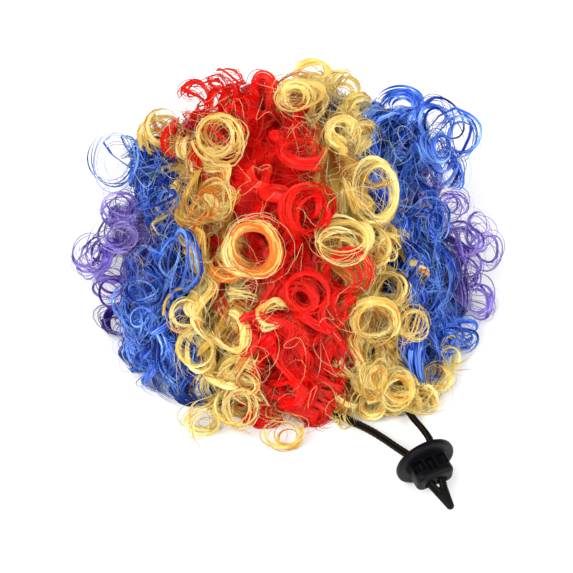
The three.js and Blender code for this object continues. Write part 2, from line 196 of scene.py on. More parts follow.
def wig_fibre(name, red_bleed, deep, body, lit, pale):
    # Modacrylic wig fibre, spun and heat-set round rods: fine combed lines along each curl with a soft gloss
    # across them. The real fibre is 0.06 mm, so the lines are drawn 0.5 mm apart to show.
    material, tree, shader = start_material(name)
    place = add_node(tree, "UVMap", {"uv_map": HAIR_MAP}, {})
    parts = add_node(tree, "SeparateXYZ", {}, {0: place})
    column = add_node(tree, "Math", {"operation": "MULTIPLY"}, {0: parts.outputs["X"], 1: SHADES})
    shade = add_node(tree, "Math", {"operation": "FLOOR"}, {0: column})
    in_lock = add_node(tree, "Math", {"operation": "LESS_THAN"}, {0: shade, 1: LOOSE_SHADE - 0.5})
    lines_at = add_node(
        tree, "Mapping", {}, {"Vector": place, "Scale": (SHADES * FIBRES_ACROSS, LINES_ALONG, 1.0)}
    )
    lines = add_node(
        tree, "TexNoise", {"noise_dimensions": "2D"},
        {"Vector": lines_at, "Scale": 1.0, "Detail": 2.0, "Roughness": 0.6},
    )
    painted_gloss_at = add_node(
        tree, "Mapping", {}, {"Vector": place, "Scale": (SHADES * GLOSS_BANDS_ACROSS, GLOSS_BANDS_ALONG, 1.0)}
    )
    painted_gloss_bands = add_node(
        tree, "TexNoise", {"noise_dimensions": "2D"}, {"Vector": painted_gloss_at, "Scale": 1.0, "Detail": 1.0}
    )
    # A strand's tone comes from its shade, its lines, a painted shade towards its root, painted gloss bands
    # along it, and a painted highlight that lifts it if it is loose.
    shifts = []
    for source, low, high, low_tone, high_tone in (
        # source, its range, the tones at both ends of it
        (shade, 0.0, LAST_SHADE, 0.05, 0.78),
        (lines, 0.25, 0.75, -0.34, 0.34),
        # painted shade towards each strand's root
        (parts.outputs["Y"], 0.0, 0.4, -0.06, 0.0),
        # painted gloss bands, light and dark along the lock
        (painted_gloss_bands, 0.3, 0.7, -0.2, 0.16),
        # painted highlight: loose fibres lighter
        (in_lock, 0.0, 1.0, 0.24, 0.0),
    ):
        shifts.append(add_node(
            tree, "MapRange", {},
            {"Value": source, "From Min": low, "From Max": high, "To Min": low_tone, "To Max": high_tone},
        ))
    tone = shifts[0]
    for shift in shifts[1:]:
        tone = add_node(tree, "Math", {"operation": "ADD"}, {0: tone, 1: shift})
    # The stops run dark to light: the lowest is the orange of painted red light, deep is partly the fibre's
    # darker tone and partly painted shade, and lit and pale are partly lighter fibre and partly painted
    # highlight.
    stops = [(0.06, red_bleed), (0.2, deep), (0.56, body), (0.94, lit), (1.0, pale)]
    colour = add_node(tree, "ValToRGB", {"stops": stops}, {0: tone})
    relief = add_node(tree, "Bump", {}, {"Strength": 0.8, "Distance": 0.25 * MM, "Height": lines})
    through = add_node(tree, "Math", {"operation": "MULTIPLY"}, {0: in_lock, 1: 0.75})
    shader.subsurface_method = "BURLEY"
    set_inputs(tree, shader, {
        "Base Color": colour, "Normal": relief, "Roughness": 0.36, "IOR": 1.45, "Specular IOR Level": 0.22,
        "Subsurface Weight": through, "Subsurface Radius": (1.0, 1.0, 1.0),
        "Subsurface Scale": LIGHT_REACH * MM,
    })
    return material


hair_finish = {}
for slot, name, *colours in (
    # slot, name, red_bleed, deep, body, lit, pale
    ("hair_red", "red_modacrylic_fibre", "#CC0605", "#CC0605", "#C80806", "#D43222", "#E24C36"),
    ("hair_yellow", "yellow_modacrylic_fibre", "#C4641E", "#AA782C", "#C6AA50", "#E8DA9C", "#FAE8AC"),
    ("hair_blue", "blue_modacrylic_fibre", "#031046", "#031046", "#123AA6", "#7CACF2", "#A4CAFA"),
    ("hair_purple", "violet_modacrylic_fibre", "#140A50", "#140A50", "#442E8E", "#AA94DE", "#CCBCF0"),
):
    hair_finish[slot] = wig_fibre(name, *colours)


def across_and_up(paths, flat_way):
    """The two directions across each strand, along its flat and over it."""
    ahead = unit(np.gradient(paths, axis=1))
    side = unit(flat_way - (flat_way * ahead).sum(2, keepdims=True) * ahead)
    return side, np.cross(ahead, side)


# A strand's section: flat on one side and a low ridge on the other.
SECTION = np.array([(-0.5, 0.3), (0.0, -0.7), (0.5, 0.3)])


def lay_strands(paths, flat_way, width, thickness, shade):
    """Closed strands along paths, with their places in the hair's map."""
    count, steps = paths.shape[:2]
    sides = len(SECTION)
    side, up = across_and_up(paths, flat_way)
    corners = (
        paths[:, :, None]
        + side[:, :, None] * (width[..., None] * SECTION[:, 0])[..., None]
        + up[:, :, None] * (thickness[..., None] * SECTION[:, 1])[..., None]
    )
    corners[..., 2] = np.maximum(corners[..., 2], FLOOR_GAP)
    index = np.arange(count * steps * sides).reshape(count, steps, sides)
    around = np.roll(index, -1, axis=2)
    walls = np.stack([index[:, :-1], around[:, :-1], around[:, 1:], index[:, 1:]], axis=3).reshape(-1, 4)
    ends = np.concatenate([index[:, 0, ::-1], index[:, -1]])
    column = (shade[:, None, None] + 0.5 + 0.88 * SECTION[:, 0]) / SHADES
    length = np.linspace(0.02, 0.98, steps)[None, :, None]
    places = on_grid(column, length)
    return corners.reshape(-1, 3), places.reshape(-1, 2), [walls, ends]


def stand_for(piece, node):
    """Puts a piece on the wig's body, in the place of a solid."""
    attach(piece, "root")
    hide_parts(node)
    return piece


def join_piece(name, node, parts, material):
    """One mesh from several sets of corners, places in the hair's map and faces."""
    first, faces = 0, []
    for corners, places, groups in parts:
        faces += [group + first for group in groups]
        first += len(corners)
    loops = np.concatenate([group.ravel() for group in faces])
    sizes = np.concatenate([np.full(len(group), group.shape[1]) for group in faces])
    mesh = bpy.data.meshes.new(name)
    mesh.vertices.add(first)
    mesh.vertices.foreach_set("co", (np.concatenate([part[0] for part in parts]) * MM).ravel())
    mesh.loops.add(len(loops))
    mesh.loops.foreach_set("vertex_index", loops.astype(np.int32))
    mesh.polygons.add(len(sizes))
    mesh.polygons.foreach_set("loop_start", (np.cumsum(sizes) - sizes).astype(np.int32))
    mesh.polygons.foreach_set("use_smooth", np.ones(len(sizes), bool))
    places = np.concatenate([part[1] for part in parts])
    mesh.uv_layers.new(name=HAIR_MAP).data.foreach_set("uv", places[loops].ravel())
    mesh.update(calc_edges=True)
    mesh.set_sharp_from_angle(angle=math.radians(70))
    mesh.materials.append(material)
    return stand_for(add_object(name, mesh), node)


def on_grid(*columns):
    """Points from columns of values that are spread to one shape."""
    return np.stack(np.broadcast_arrays(*columns), -1)


def there_and_back(sides):
    """Places across the map that go there and back round a piece, so that no seam shows."""
    return np.abs(np.arange(sides) / sides * 2 - 1)


def round_turn(sides):
    """The angles of so many sides round a circle."""
    return 2 * np.pi * np.arange(sides) / sides


def unit(vectors):
    return vectors / (np.linalg.norm(vectors, axis=-1, keepdims=True) + 1e-9)


def place_angles(outward):
    """The angle out from the middle plane and the angle along from the front rim, of outward directions."""
    out = np.degrees(np.arcsin(np.clip(outward[..., 0], -1, 1)))
    return out, np.degrees(np.arctan2(outward[..., 2], -outward[..., 1]))


def stretched(outward):
    """How much longer the hair is in each direction."""
    out, along = place_angles(outward)
    longer = 1.0
    for tuft_out, tuft_along, spread, extra in LONG_HAIR:
        away = np.hypot(out - tuft_out, (along - tuft_along) * np.cos(np.radians(out)))
        longer = longer + extra / LONG_FROM * np.exp(-(away / spread) ** 2)
    return longer


def over_cap(outward, depth):
    """A point at a depth of hair above the cap, in a direction out from its middle."""
    depth = (depth * stretched(outward))[..., None]
    reach = np.concatenate([CAP_RADIUS + depth, CAP_RADIUS + depth, CAP_RISE + depth], -1)
    return outward * reach + (0, 0, RIM_HEIGHT)


def from_angles(out, along):
    """The outward direction at an angle out from the middle plane and an angle along from the front rim."""
    out, along = np.radians(out), np.radians(along)
    return np.stack([np.sin(out), -np.cos(out) * np.cos(along), np.cos(out) * np.sin(along)], -1)


def on_floor(points):
    """Strands that would go below the floor lie flat on it."""
    lift, soft = 0.5, 0.7
    points[..., 2] = lift + soft * np.logaddexp(0, (points[..., 2] - lift) / soft)
    return points


def crosswise(axis):
    """Two directions at right angles to each axis."""
    helper = np.where(np.abs(axis[:, 2:]) < 0.8, [[0, 0, 1.0]], [[1.0, 0, 0]])
    first = unit(np.cross(helper, axis))
    return first, np.cross(axis, first)


# A ring's smallest radius, and how far round it its tail begins to leave it.
TIGHTEST = 0.8
TAIL_FROM = 0.65
SWAYS = [
    # waves along the strand, share
    (0.7, 0.7),
    (1.5, 0.4),
    (2.4, 0.15),
]


def sway(count, steps, reach):
    """Slow uneven drift along a strand, none at its root."""
    run = np.linspace(0, 1, steps)[None, :, None]
    drift = np.zeros((count, steps, 3))
    for waves, share in SWAYS:
        way = rng.normal(0, share, (count, 1, 3))
        pace = waves * rng.uniform(0.8, 1.2, (count, 1, 1))
        start = rng.uniform(size=(count, 1, 1))
        drift += way * np.sin(2 * np.pi * (pace * run + start))
    return reach * drift * np.clip(run * 4, 0, 1)


def swayed(paths, lock, which, frizz):
    """Strands that drift with their lock, and each a little by itself."""
    count, steps = paths.shape[:2]
    with_lock = sway(len(lock["radius"]), steps, 1.0)[which] * lock["sway"][which][:, None, None]
    return paths + (with_lock + sway(count, steps, frizz))


def repeated(lock, times):
    """Each lock's values a number of times over, and which lock each belongs to."""
    which = np.repeat(np.arange(len(lock["radius"])), times)
    return {name: values[which] for name, values in lock.items()}, which


def places_in_lock(take, which, loose):
    """Where each strand lies in its lock, out from the ring and along its axis, and how it is turned.

    Strands lie side by side in a sheet that is rounded outward, or loosely about it.
    """
    count = len(which)
    first = np.searchsorted(which, which)
    many = np.bincount(which)[which]
    place = (np.arange(count) - first + 0.5) / many - 0.5 + rng.normal(0, 0.2, count) / many
    across = take["sheet"] * place * (1 + loose) + rng.normal(0, 1, count) * loose
    bulge = np.sign(np.sin(take["tilt"])) * 0.5
    over = bulge * take["sheet"] * place ** 2 + rng.normal(0, 0.15 + loose, count)
    tilt = take["tilt"]
    turned = tilt + np.arctan(2 * bulge * place) + rng.normal(0, 0.15, count)
    return across * np.cos(tilt) - over * np.sin(tilt), across * np.sin(tilt) + over * np.cos(tilt), turned


def ring_paths(lock, strands, loose, frizz, stem_steps, ring_steps):
    """Strands of locks that rise from the cap on a stem and wind into a ring."""
    take, which = repeated(lock, strands)
    each = {name: values[:, None] for name, values in take.items()}
    count = len(which)
    wide, deep, turned = (values[:, None] for values in places_in_lock(take, which, loose))
    first, second = crosswise(take["axis"])
    wound = np.linspace(0, 1, ring_steps)
    turns = each["turns"] * (1 + rng.normal(0, 0.03 + 0.05 * loose, (count, 1)))
    begin = each["begin"] + rng.normal(0, 0.05 + 0.1 * loose, (count, 1))
    angle = begin + each["spin"] * 2 * np.pi * turns * wound
    gather = 0.6 + 0.4 * np.sin(np.pi * (0.15 + 0.75 * wound))
    radius = np.maximum(each["radius"] * (1 - each["tighten"] * wound) + wide * gather, TIGHTEST)
    away = np.cos(angle)[..., None] * first[:, None] + np.sin(angle)[..., None] * second[:, None]
    along_axis = deep * gather + each["rise"] * turns * wound
    ring = each["centre"] + radius[..., None] * away + along_axis[..., None] * each["axis"]
    ring += (np.clip((wound - TAIL_FROM) / (1 - TAIL_FROM), 0, 1) ** 2)[:, None] * each["tail"]
    ahead = unit(ring[:, 1] - ring[:, 0])
    root = take["root"] + rng.normal(0, 1.2, (count, 3))
    bend = ring[:, 0] - ahead * (0.45 * np.linalg.norm(ring[:, 0] - root, axis=1))[:, None]
    part = np.linspace(0, 1, stem_steps, endpoint=False)[:, None]
    stem = (1 - part) ** 2 * root[:, None] + 2 * part * (1 - part) * bend[:, None] + part ** 2 * ring[:, :1]
    paths = swayed(np.concatenate([stem, ring], axis=1), lock, which, frizz)
    away = np.concatenate([np.repeat(away[:, :1], stem_steps, axis=1), away], axis=1)
    turned = turned[..., None]
    flat_way = np.cos(turned) * away + np.sin(turned) * each["axis"]
    return on_floor(paths), flat_way, which


def spiral_paths(lock, strands, loose, frizz, steps):
    """Strands of locks that run along the cap, wound as a corkscrew or lying flat in waves."""
    take, which = repeated(lock, strands)
    each = {name: values[:, None] for name, values in take.items()}
    count = len(which)
    wide, deep, turned = (values[:, None] for values in places_in_lock(take, which, loose))
    flat, wound = each["flat"], 1 - each["flat"]
    run = np.linspace(0, 1, steps)
    height = each["low"] + (each["high"] - each["low"]) * np.sin(run * np.pi / 2)
    bow = each["length"] * run / (CAP_RADIUS + height) + wound * deep / (CAP_RADIUS + HAIR_DEPTH)
    out = np.cos(bow)[..., None] * each["outward"] + np.sin(bow)[..., None] * each["heading"]
    across = np.cross(take["outward"], take["heading"])[:, None]
    angle = each["begin"] + each["spin"] * 2 * np.pi * each["turns"] * run
    angle = angle + rng.normal(0, 0.05 + 0.1 * loose, (count, 1))
    swell = np.clip(run / 0.25, 0, 1) * (1 - 0.3 * run)
    gather = 0.5 + 0.5 * np.sin(np.pi * (0.1 + 0.75 * run))
    radius = each["radius"] * swell + wound * wide * gather
    away = (each["plump"] * np.cos(angle))[..., None] * out + np.sin(angle)[..., None] * across
    paths = over_cap(out, height) + radius[..., None] * away
    paths += (flat * wide * gather)[..., None] * across + (flat * deep * gather)[..., None] * out
    paths = swayed(paths, lock, which, frizz)
    turned, flat, wound = turned[..., None], flat[..., None], wound[..., None]
    flat_way = wound * (np.cos(turned) * away + np.sin(turned) * unit(np.gradient(out, axis=1)))
    flat_way = flat_way + flat * (np.cos(turned) * across + np.sin(turned) * out)
    return on_floor(paths), flat_way, which


def tapered(count, steps, root, tip):
    """A strand's thickness along it, thin at its root and drawn out at its tip."""
    run = np.linspace(0, 1, steps)
    taper = np.minimum(np.clip(run / root, 0.35, 1), np.clip((1 - run) / tip, 0.12, 1))
    return np.tile(taper, (count, 1))


# Curls that stand out from the rest, with their place on the dome, their depth over the cap, their width and
# height as seen from the front above, and the width of their band of strands, in degrees and millimetres.
MARKED_CURLS = [
    # stripe, out, along, depth, wide, tall, band, turns
    (YELLOW_LEFT, -13.2, 57, 20.5, 23.5, 24.5, 3.0, 1.5),
    (YELLOW_LEFT, -17.5, 98, 20.5, 18, 18, 2.2, 1.8),
    (YELLOW_RIGHT, 8.6, 106, 20.5, 22, 17, 3.0, 1.7),
    (YELLOW_RIGHT, 24.2, 69, 20.5, 18, 26, 2.0, 1.6),
    (YELLOW_RIGHT, 10.4, 52, 20.5, 23, 18, 1.8, 1.3),
    (YELLOW_RIGHT, 22.3, 49, 20.5, 13, 13, 1.4, 1.1),
    (YELLOW_RIGHT, 17.5, 31, 20.5, 21, 18, 1.8, 1.8),
    (YELLOW_RIGHT, 30.7, 26, 20.5, 14, 16, 2.4, 1.2),
    (YELLOW_RIGHT, 15.1, 10, 20.5, 12, 17, 2.0, 2.0),
    (YELLOW_RIGHT, 22.3, 6, 20.5, 14, 14, 1.8, 1.7),
    (YELLOW_RIGHT, 29.3, -3, 20.5, 15, 12, 2.2, 1.8),
    (YELLOW_LEFT, -37.6, 38, 20.5, 12.5, 12.5, 0.8, 1.2),
    (YELLOW_LEFT, -34.8, 24, 20.5, 15, 18.5, 1.4, 1.6),
    (YELLOW_LEFT, -20.5, 75, 20.5, 14, 24, 3.6, 0.6),
    (YELLOW_LEFT, -23, 32, 20.5, 15, 18, 3.0, 0.8),
    (YELLOW_LEFT, -11.5, 35, 20.5, 16, 16, 3.0, 0.65),
    (YELLOW_RIGHT, 18.7, 92, 20.5, 16, 14, 3.0, 1.0),
    (YELLOW_LEFT, -32.5, -1, 27, 17, 14, 1.6, 1.4),
    (YELLOW_LEFT, -21.7, 4, 22, 17.5, 19, 2.2, 1.6),
    (YELLOW_LEFT, -10.5, -1, 26.5, 15, 13, 1.2, 1.3),
    (BLUE_LEFT, -48.5, 134, 25.5, 17.5, 20, 1.2, 1.1),
    (BLUE_LEFT, -53, 50, 20.5, 19, 15, 1.6, 1.5),
    (BLUE_LEFT, -54, 33, 20.5, 11, 15, 1.4, 1.6),
    (BLUE_LEFT, -38, 57, 20.5, 13, 26, 2.4, 0.9),
    (BLUE_RIGHT, 46, 60, 20.5, 12, 16, 1.6, 1.7),
    (BLUE_RIGHT, 50, 96, 20.5, 14, 16, 1.6, 1.4),
    (PURPLE_LEFT, -57, 101, 20.5, 12, 12, 1.0, 1.4),
    (PURPLE_LEFT, -60, 84, 20.5, 13, 12, 1.0, 1.4),
    (PURPLE_LEFT, -70, 60, 20.5, 14, 12, 0.8, 1.2),
    (PURPLE_RIGHT, 62, 72, 20.5, 12, 12, 1.0, 1.4),
    (PURPLE_RIGHT, 70, 50, 20.5, 16, 14, 1.4, 1.5),
    (PURPLE_RIGHT, 70, 20, 20.5, 14, 14, 1.2, 1.4),
    (RED, 3.4, 81, 20.5, 18, 11, 2.2, 1.8),
    (RED, 2.3, 65, 20.5, 20, 22, 2.4, 1.6),
    (RED, -2.9, 42, 20.5, 18, 17, 2.4, 1.8),
    (RED, 9.2, 45, 20.5, 18, 16, 2.4, 1.6),
    (BLUE_RIGHT, 42, 122, 20.1, 20, 16, 3.6, 0.9),
    (BLUE_RIGHT, 51, 116, 21.4, 20, 22, 3.4, 0.9),
    (BLUE_RIGHT, 57, 110, 24.7, 17, 22, 1.0, 1.0),
    (BLUE_RIGHT, 48, 118, 15.6, 20, 22, 3.8, 1.0),
    (BLUE_RIGHT, 58, 104, 19.7, 14, 20, 2.4, 1.2),
    (YELLOW_RIGHT, 15.5, 1, 20.5, 15, 14, 2.0, 1.3),
    (YELLOW_RIGHT, 22, 0, 19.5, 14, 13, 2.2, 1.4),
    (YELLOW_RIGHT, 27, 0, 20.6, 14, 12, 2.2, 1.4),
    (YELLOW_RIGHT, 31, 0, 22.9, 13, 12, 2.0, 1.3),
    (YELLOW_RIGHT, 36, 1, 21, 13, 13, 2.0, 1.4),
    (YELLOW_RIGHT, 42, 1, 22.2, 10, 12, 1.0, 1.2),
    (PURPLE_LEFT, -80, 128, 25, 14, 12, 0.5, 1.0),
    (PURPLE_LEFT, -74, 100, 21, 14, 12, 0.6, 1.0),
    (PURPLE_RIGHT, 74, 55, 26.3, 13, 14, 1.0, 1.2),
    (PURPLE_RIGHT, 73, 36, 29, 12, 12, 0.8, 1.1),
    (PURPLE_RIGHT, 66, 2, 27, 12, 13, 1.0, 1.2),
    (BLUE_LEFT, -62, 22, 17, 14, 15, 1.8, 1.1),
    (BLUE_LEFT, -57, 9, 16, 15, 14, 1.8, 1.1),
    (BLUE_LEFT, -49, 9, 16, 15, 16, 2.0, 1.1),
    (BLUE_LEFT, -61, 42, 19, 13, 15, 1.8, 1.1),
    (RED, -9, 130, 25, 14, 10, 0.9, 1.0),
    (RED, -19, 133, 23, 16, 14, 2.0, 1.0),
    (YELLOW_RIGHT, 15.5, 129, 23.5, 18, 14, 2.4, 1.2),
    (YELLOW_RIGHT, 25, 127, 21.8, 16, 14, 2.4, 1.1),
    (BLUE_RIGHT, 52.5, 2, 25, 14, 14, 2.4, 1.1),
    (BLUE_RIGHT, 47, 1, 21.5, 14, 14, 2.4, 1.1),
    (BLUE_RIGHT, 62, 106, 18.6, 16, 18, 2.8, 1.0),
    (YELLOW_LEFT, -33, 131, 21, 14, 12, 1.0, 1.1),
]


def marked_locks():
    """The curls that stand out: rings that face the front above, leaned to their listed width and height."""
    stripe, out, along, depth, wide, tall, band, turns = (np.array(c, float) for c in zip(*MARKED_CURLS))
    count = len(out)
    outward = from_angles(out, along)
    lean = np.arccos(np.minimum(wide, tall) / np.maximum(wide, tall))
    to_side = np.where((wide < tall)[:, None], RIGHTWARD, UPWARD)
    to_side = to_side * np.where((outward * to_side).sum(1) < 0, -1, 1)[:, None]
    axis = unit(np.cos(lean)[:, None] * FACING + np.sin(lean)[:, None] * to_side)
    radius = np.maximum(wide, tall) / 2 - 0.8 * band
    centre = over_cap(outward, depth)
    return {
        "stripe": stripe.astype(int),
        "axis": axis,
        "radius": radius,
        "turns": turns,
        "tighten": rng.uniform(0.05, 0.3, count),
        "rise": rng.uniform(1, 3, count),
        "begin": rng.uniform(0, 2 * np.pi, count),
        "spin": rng.choice([-1.0, 1.0], count),
        "centre": centre,
        "root": over_cap(outward, np.full(count, 5.0)),
        "tone": np.maximum(rng.normal(0.66, 0.08, count), 0.6),
        "sway": np.full(count, 1.9),
        "tail": rng.normal(0, 2.5, (count, 3)),
        "sheet": 2.2 * band,
        "tilt": rng.choice([-1, 1], count) * rng.uniform(0.6, 1.2, count),
    }, outward


def even_directions(count, lowest):
    """Directions spread evenly over the dome down to a lowest slope."""
    step = np.arange(count) + 0.5
    rise = lowest + (1 - lowest) * step / count
    turn = np.pi * (1 + 5 ** 0.5) * step
    flat = np.sqrt(1 - rise ** 2)
    return np.stack([flat * np.cos(turn), flat * np.sin(turn), rise], -1)


# Behind the crown the red hair falls over the left yellow stripe.
RED_FALL, RED_FALL_OUT, RED_FALL_SPREAD = 10, -26, 8
RED_FALL_FROM, RED_FALL_FULL = 78, 94


def stripe_at(outward, ragged=1.2):
    """The stripe that a direction lies in, with a ragged edge of some degrees."""
    out, along = place_angles(outward)
    fall = np.clip((along - RED_FALL_FROM) / (RED_FALL_FULL - RED_FALL_FROM), 0, 1)
    out = out + RED_FALL * fall * np.exp(-((out - RED_FALL_OUT) / RED_FALL_SPREAD) ** 2)
    out = out + rng.normal(0, ragged, len(outward))
    return np.clip(np.searchsorted([s[3] for s in STRIPES], out) - 1, 0, len(STRIPES) - 1)


def downhill(outward):
    """The ways that hair hangs: along its stripe to the nearer end, and a little down the dome's side."""
    along = np.radians(place_angles(outward)[1])
    to_front = np.stack([np.zeros_like(along), -np.sin(along), -np.cos(along)], -1)
    nearer = np.where(along + rng.normal(0, 0.25, len(along)) < np.pi / 2, 1.0, -1.0)[:, None]
    side = np.abs(outward[:, :1])
    down = to_front * nearer + 0.6 * side * (outward * outward[:, 2:] - (0, 0, 1))
    down = down + rng.normal(0, 0.18, (len(outward), 3))
    return unit(down - (down * outward).sum(1, keepdims=True) * outward)


def filling_rings(outward):
    """Rings between the marked ones, some flat on the hair and some on edge."""
    count = len(outward)
    first, second = crosswise(outward)
    turn = rng.uniform(0, 2 * np.pi, count)[:, None]
    sideways = np.cos(turn) * first + np.sin(turn) * second
    lies_flat = rng.uniform(size=count) < 0.35
    lean = np.radians(np.where(lies_flat, rng.uniform(5, 40, count), rng.uniform(50, 90, count)))
    depth = rng.uniform(10, 20.5, count)
    return {
        "stripe": stripe_at(outward),
        "axis": np.cos(lean)[:, None] * outward + np.sin(lean)[:, None] * sideways,
        "radius": rng.uniform(4.2, 7.6, count),
        "turns": rng.uniform(0.8, 1.4, count),
        "tighten": rng.uniform(-0.1, 0.3, count),
        "rise": rng.uniform(2.0, 7.0, count),
        "begin": rng.uniform(0, 2 * np.pi, count),
        "spin": rng.choice([-1.0, 1.0], count),
        "centre": over_cap(outward, depth),
        "root": over_cap(outward, np.full(count, 3.0)),
        # Deeper rings are darker and outer ones lighter: painted shade by depth, on top of a random tone.
        "tone": rng.normal(0.25, 0.12, count) + 0.3 * (depth - 10) / 10,
        "sway": np.full(count, 2.2),
        "tail": downhill(outward) * rng.uniform(2, 12, (count, 1)),
        "sheet": rng.uniform(3.2, 6.5, count),
        "tilt": rng.choice([-1, 1], count) * rng.uniform(0.4, 1.4, count),
    }


def corkscrews(outward, low, high):
    """Locks that run down the dome in loose spirals."""
    count = len(outward)
    top = rng.uniform(low, high, count)
    room = np.maximum(np.arcsin(np.clip(outward[:, 2], -1, 1)) * 70, 12)
    return {
        "stripe": stripe_at(outward),
        "outward": outward,
        "heading": downhill(outward),
        "low": rng.uniform(4, 9, count),
        "high": top,
        "length": np.minimum(rng.uniform(28, 56, count), room + 14),
        "radius": rng.uniform(3.5, 6.5, count),
        "turns": rng.uniform(1.2, 2.6, count),
        "begin": rng.uniform(0, 2 * np.pi, count),
        "spin": rng.choice([-1.0, 1.0], count),
        # Lower locks are darker and higher ones lighter: painted shade by height, on top of a random tone.
        "tone": rng.normal(0.22, 0.13, count) + 0.3 * (top - 8) / 12,
        "sway": np.full(count, 2.0),
        "plump": rng.uniform(0.35, 1.0, count),
        "sheet": rng.uniform(4, 7.5, count),
        "tilt": rng.uniform(0.9, 2.2, count),
        "flat": np.zeros(count),
    }


def waves(outward, low, high):
    """Locks that lie flat and run down the dome in waves."""
    lock = corkscrews(outward, low, high)
    count = len(outward)
    lock["length"] = np.minimum(lock["length"] * 1.25, 62)
    lock["turns"] = lock["length"] / rng.uniform(19, 28, count)
    lock["radius"], lock["plump"] = rng.uniform(3, 5.5, count), rng.uniform(0.2, 0.6, count)
    lock["sheet"], lock["tilt"] = rng.uniform(5.5, 9, count), rng.normal(0, 0.35, count)
    lock["flat"] = np.ones(count)
    return lock


# Wavy locks that cover the long hair at the back, the stripes' borders and the cord at the front.
LAID_WAVES = [
    # stripe, out, along, low, high, length
    (BLUE_RIGHT, 40, 108, 12, 18, 34),
    (BLUE_RIGHT, 44, 100, 12, 19, 34),
    (BLUE_RIGHT, 48, 112, 12, 18, 34),
    (BLUE_RIGHT, 52, 98, 12, 19, 34),
    (BLUE_RIGHT, 46, 88, 12, 18, 34),
    (BLUE_RIGHT, 56, 104, 12, 20, 34),
    (BLUE_RIGHT, 42, 118, 12, 18, 34),
    (BLUE_RIGHT, 50, 92, 12, 19, 34),
    (BLUE_LEFT, -58, 70, 7, 21, 44),
    (BLUE_LEFT, -62, 55, 7, 22, 40),
    (BLUE_LEFT, -66, 40, 7, 22, 32),
    (BLUE_LEFT, -60, 25, 7, 21, 26),
    (BLUE_LEFT, -70, 30, 7, 22, 26),
    (BLUE_LEFT, -64, 12, 7, 21, 20),
    (BLUE_LEFT, -56, 45, 7, 22, 40),
    (BLUE_LEFT, -60, 88, 7, 22, 48),
    (PURPLE_RIGHT, 62, 84, 8, 22, 36),
    (PURPLE_RIGHT, 67, 70, 8, 23, 36),
    (PURPLE_RIGHT, 72, 56, 8, 23, 34),
    (PURPLE_RIGHT, 66, 46, 8, 22, 34),
    (PURPLE_RIGHT, 71, 34, 8, 23, 28),
    (PURPLE_RIGHT, 65, 24, 8, 22, 24),
    (YELLOW_RIGHT, 20, 20, 10, 20, 30),
    (YELLOW_RIGHT, 25, 16, 10, 21, 28),
    (YELLOW_RIGHT, 30, 18, 10, 20, 30),
    (YELLOW_RIGHT, 35, 14, 10, 20, 26),
    (YELLOW_LEFT, -23, 84, 9, 17, 34),
    (YELLOW_LEFT, -26, 96, 9, 17, 36),
    (RED, -19, 100, 9, 18, 34),
]


def laid_waves():
    """The wavy locks listed above."""
    stripe, out, along, low, high, length = (np.array(column, float) for column in zip(*LAID_WAVES))
    lock = waves(from_angles(out, along), 15, 22)
    lock.update(stripe=stripe.astype(int), low=low, high=high, length=length, turns=length / 24)
    return lock


def scattered(count, lowest, jitter):
    """Directions spread over the dome, each a little out of place."""
    return unit(even_directions(count, lowest) + rng.normal(0, jitter, (count, 3)))


# How many locks are scattered, how near to a marked one they may be, and the shares of rings and spirals.
SCATTERED_LOCKS, LOW_LOCKS, LOWEST = 370, 260, -0.1
KEEP_OFF = 0.075
RING_SHARE, SPIRAL_SHARE = 0.25, 0.35
marked, marked_out = marked_locks()
directions = scattered(SCATTERED_LOCKS, LOWEST, 0.025)
apart = np.min(np.linalg.norm(directions[:, None] - marked_out[None], axis=2), axis=1)
directions = directions[apart > KEEP_OFF]
chance = rng.uniform(size=len(directions)) + 0.3 * (directions[:, 0] > 0.5)
rings = filling_rings(directions[chance < RING_SHARE])
not_wavy = chance < RING_SHARE + SPIRAL_SHARE
spirals = corkscrews(directions[(chance >= RING_SHARE) & not_wavy], 14, 21)
waved = waves(directions[~not_wavy], 15, 22)
laid = laid_waves()
waved = {name: np.concatenate([values, laid[name]]) for name, values in waved.items()}
for lock in (spirals, waved):
    lock["high"] = lock["high"] - 5 * (lock["stripe"] == PURPLE_LEFT)
low_out = scattered(LOW_LOCKS, LOWEST, 0.03)
low_waves = waves(low_out, 9, 13)
low_waves["stripe"] = stripe_at(low_out, 3)

hair = [[] for _ in STRIPES]


def file_strands(lock, which, paths, flat_way, width, thickness, shade):
    """Lays strands along paths and files them under their stripes."""
    stripe = lock["stripe"][which]
    for i in np.unique(stripe):
        own = stripe == i
        hair[i].append(lay_strands(paths[own], flat_way[own], width[own], thickness[own], shade[own]))


# Yellow hair within some degrees of the red stripe looks orange, as red light shows through it: every other
# strand of its darker locks is given this as painted red light, in the orange column of the yellow fibre.
RED_EDGES = {YELLOW_LEFT: -20.5, YELLOW_RIGHT: 7.5}
RED_BLEED_REACH = 9
RED_BLEED_BELOW = 0.54


def painted_red_bleed(stripe, paths, tone):
    """Which strands get painted red light from the red stripe beside them."""
    out = place_angles(unit(paths.mean(1) - (0, 0, RIM_HEIGHT)))[0]
    near = np.zeros(len(stripe), bool)
    for yellow, edge in RED_EDGES.items():
        near |= (stripe == yellow) & (np.abs(out - edge) < RED_BLEED_REACH)
    return near & (tone < RED_BLEED_BELOW) & (np.arange(len(stripe)) % 2 == 0)


